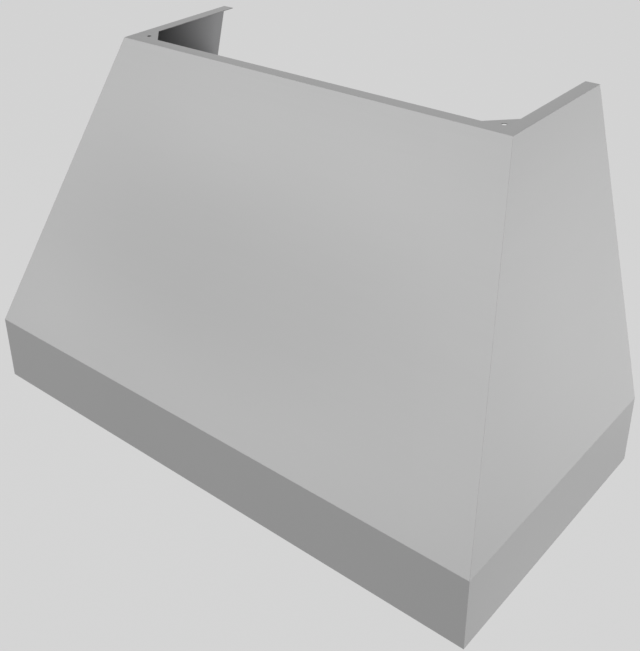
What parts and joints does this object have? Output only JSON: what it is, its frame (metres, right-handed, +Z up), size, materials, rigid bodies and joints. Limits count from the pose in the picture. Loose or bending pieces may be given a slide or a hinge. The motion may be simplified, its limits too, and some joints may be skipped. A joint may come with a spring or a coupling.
{
  "type": "wall-mount range hood",
  "caption": "Wall-mount canopy range hood: sloped sheet-metal canopy with an open top, hinged baffle filters, a blower under a duct collar, lamps and knobs below.",
  "frame": {"origin": "on the wall plane, at the band's bottom edge, midway between the hood's sides", "axes": "+X to the right as seen facing the hood, +Y into the wall, +Z up"},
  "size_m": [1.2192, 0.6096, 0.762],
  "materials": {
    "stainless": "satin, fine brushed",
    "galvanised_sheet": "dull zinc coating",
    "damper_sheet": "mill finish",
    "zinc_fastener": "bright zinc plate",
    "spring_steel": "tempered, oiled",
    "motor_enamel": "satin black enamel",
    "machined_steel": "turned and ground",
    "bezel_chrome": "polished",
    "lamp_glass": "frosted on the inside",
    "heat_sink": "extruded, natural",
    "knob_metal": "satin, turned",
    "dark_plastic": "moulded",
    "pale_plastic": "moulded",
    "lead_sheath": "smooth sheath"
  },
  "bodies": {
    "hood": {"blower_box": "galvanised_sheet", "clips": "galvanised_sheet", "control_lead": "lead_sheath", "control_panel": "stainless", "duct_collar": "galvanised_sheet", "filter_catches": "spring_steel", "filter_hinge_rail": "galvanised_sheet", "front_panel": "stainless", "grease_trough": "stainless", "hanging_rail": "galvanised_sheet", "hinge_pins": "zinc_fastener", "inlet_rings": "galvanised_sheet", "junction_box": "galvanised_sheet", "junction_cover": "galvanised_sheet", "lamp_bezels": "bezel_chrome", "lamp_cans": "galvanised_sheet", "lamp_lenses": "lamp_glass", "led_driver": "pale_plastic", "led_modules": "heat_sink", "left_scroll": "galvanised_sheet", "left_side_panel": "stainless", "liner_deck": "stainless", "loop_leads": "lead_sheath", "motor_bearings": "machined_steel", "motor_body": "motor_enamel", "motor_bracket": "galvanised_sheet", "motor_lead": "lead_sheath", "motor_stator": "machined_steel", "nuts": "zinc_fastener", "outlet_box": "galvanised_sheet", "panel_screws": "zinc_fastener", "plenum": "galvanised_sheet", "rear_panel": "galvanised_sheet", "right_scroll": "galvanised_sheet", "right_side_panel": "stainless", "rotary_switches": "dark_plastic", "run_capacitor": "pale_plastic", "terminal_block": "dark_plastic", "top_gussets": "stainless", "weld_studs": "zinc_fastener"},
    "blower_rotor": {"right_blower_wheel": "galvanised_sheet", "left_blower_wheel": "galvanised_sheet", "motor_shaft": "machined_steel", "motor_rotor": "machined_steel"},
    "fan_knob": {"fan_knob": "knob_metal", "fan_knob_shaft": "machined_steel"},
    "light_knob": {"light_knob": "knob_metal", "light_knob_shaft": "machined_steel"},
    "grease_cup": {"grease_cup": "stainless"},
    "front_damper": {"front_damper_flap": "damper_sheet"},
    "rear_damper": {"rear_damper_flap": "damper_sheet"},
    "filter_1": {"filter_frame_1": "stainless", "filter_baffles_1": "stainless", "filter_pull_1": "stainless"},
    "filter_2": {"filter_frame_2": "stainless", "filter_baffles_2": "stainless", "filter_pull_2": "stainless"},
    "filter_3": {"filter_frame_3": "stainless", "filter_baffles_3": "stainless", "filter_pull_3": "stainless"}
  },
  "joints": [
    {"name": "filter_1_swing", "type": "hinge", "parent": "hood", "child": "filter_1", "pos_m": [0, -0.076, 0.056], "axis": [1, 0, 0], "range_deg": [0, 75], "deforming": ["filter_catches"]},
    {"name": "filter_2_swing", "type": "hinge", "parent": "hood", "child": "filter_2", "pos_m": [0, -0.076, 0.056], "axis": [1, 0, 0], "range_deg": [0, 75]},
    {"name": "filter_3_swing", "type": "hinge", "parent": "hood", "child": "filter_3", "pos_m": [0, -0.076, 0.056], "axis": [1, 0, 0], "range_deg": [0, 75]},
    {"name": "front_damper_swing", "type": "hinge", "parent": "hood", "child": "front_damper", "pos_m": [0, -0.142, 0.585], "axis": [-1, 0, 0], "range_deg": [0, 78]},
    {"name": "rear_damper_swing", "type": "hinge", "parent": "hood", "child": "rear_damper", "pos_m": [0, -0.142, 0.585], "axis": [1, 0, 0], "range_deg": [0, 78]},
    {"name": "blower_spin", "type": "hinge", "parent": "hood", "child": "blower_rotor", "pos_m": [0, -0.215, 0.325], "axis": [1, 0, 0], "continuous": true},
    {"name": "fan_knob_turn", "type": "hinge", "parent": "hood", "child": "fan_knob", "pos_m": [0.075, -0.5243, 0.024], "axis": [0, 0, 1], "range_deg": [0, 240]},
    {"name": "light_knob_turn", "type": "hinge", "parent": "hood", "child": "light_knob", "pos_m": [-0.075, -0.5243, 0.024], "axis": [0, 0, 1], "range_deg": [0, 270]},
    {"name": "grease_cup_slide", "type": "slide", "parent": "hood", "child": "grease_cup", "axis": [0, 1, 0], "range_m": [-0.04, 0]}
  ]
}
